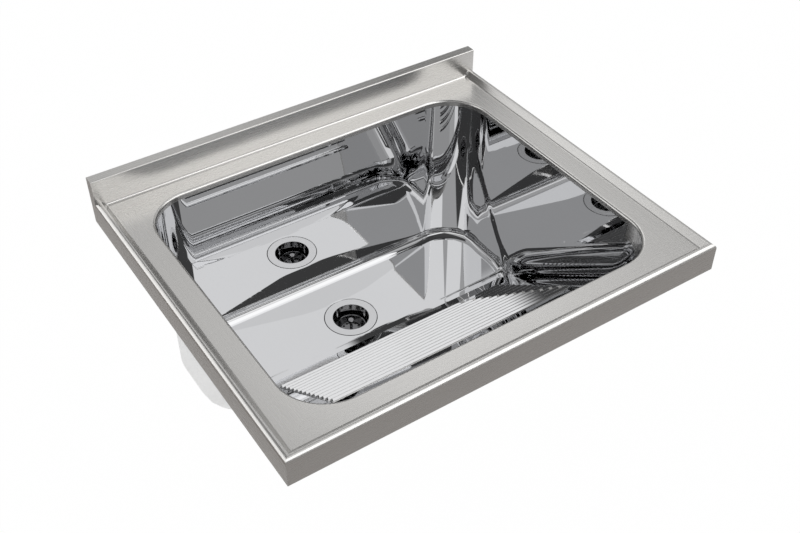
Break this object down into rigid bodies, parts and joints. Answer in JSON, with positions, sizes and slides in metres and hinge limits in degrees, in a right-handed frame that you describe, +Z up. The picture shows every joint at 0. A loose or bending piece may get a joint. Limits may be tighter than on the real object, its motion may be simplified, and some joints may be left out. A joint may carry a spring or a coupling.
{
  "type": "laundry sink",
  "caption": "Sit-on stainless steel laundry sink with a raised rim, a rear upstand, a deep polished bowl with a ribbed sloping washboard, and a lift-out basket strainer.",
  "frame": {"origin": "middle of the plan, on the plane where the folded return flange rests on its cabinet", "axes": "+X to the right for someone standing in front of the sink, +Y to the wall behind it, +Z up"},
  "size_m": [0.7, 0.6, 0.4845],
  "materials": {
    "deck_steel": "brushed along each folded length",
    "bowl_steel": "mirror polished inside",
    "waste_steel": "polished",
    "fixing_steel": "zinc plated",
    "terminal_brass": "plain",
    "seal_rubber": "matt",
    "pad_rubber": "matt, slightly pebbled",
    "ring_card": "pressed fibre",
    "nut_plastic": "moulded"
  },
  "bodies": {
    "sink": {"deck_sheet": "deck_steel", "upstand_end_left": "deck_steel", "upstand_end_right": "deck_steel", "front_collar": "deck_steel", "bowl_shell": "bowl_steel", "washboard": "bowl_steel", "waste_body": "waste_steel", "flange_seal": "seal_rubber", "under_seal": "seal_rubber", "friction_ring": "ring_card", "tail_seal": "seal_rubber", "lock_nut": "nut_plastic", "coupling_nut": "nut_plastic", "tail_pipe": "nut_plastic", "fixing_studs": "fixing_steel", "fixing_washers": "fixing_steel", "fixing_nuts": "fixing_steel", "earth_tag": "fixing_steel", "earth_screw": "terminal_brass", "earth_nut": "terminal_brass", "sound_pad_back": "pad_rubber", "sound_pad_board": "pad_rubber"},
    "strainer": {"basket_cup": "waste_steel", "basket_post": "waste_steel", "basket_knob": "waste_steel", "stopper_seal": "seal_rubber"},
    "bracket_front_left": {"bracket_front_left": "fixing_steel"},
    "bracket_front_right": {"bracket_front_right": "fixing_steel"},
    "bracket_rear_left": {"bracket_rear_left": "fixing_steel"},
    "bracket_rear_right": {"bracket_rear_right": "fixing_steel"}
  },
  "joints": [
    {"name": "strainer_lift", "type": "slide", "parent": "sink", "child": "strainer", "axis": [0, 0, 1], "range_m": [0, 0.06]},
    {"name": "swivel_front_left", "type": "hinge", "parent": "sink", "child": "bracket_front_left", "pos_m": [-0.318, -0.15, 0.027], "axis": [0, 0, 1], "range_deg": [-90, 90]},
    {"name": "swivel_front_right", "type": "hinge", "parent": "sink", "child": "bracket_front_right", "pos_m": [0.318, -0.15, 0.027], "axis": [0, 0, 1], "range_deg": [-90, 90]},
    {"name": "swivel_rear_left", "type": "hinge", "parent": "sink", "child": "bracket_rear_left", "pos_m": [-0.318, 0.15, 0.027], "axis": [0, 0, 1], "range_deg": [-90, 90]},
    {"name": "swivel_rear_right", "type": "hinge", "parent": "sink", "child": "bracket_rear_right", "pos_m": [0.318, 0.15, 0.027], "axis": [0, 0, 1], "range_deg": [-90, 90]}
  ]
}
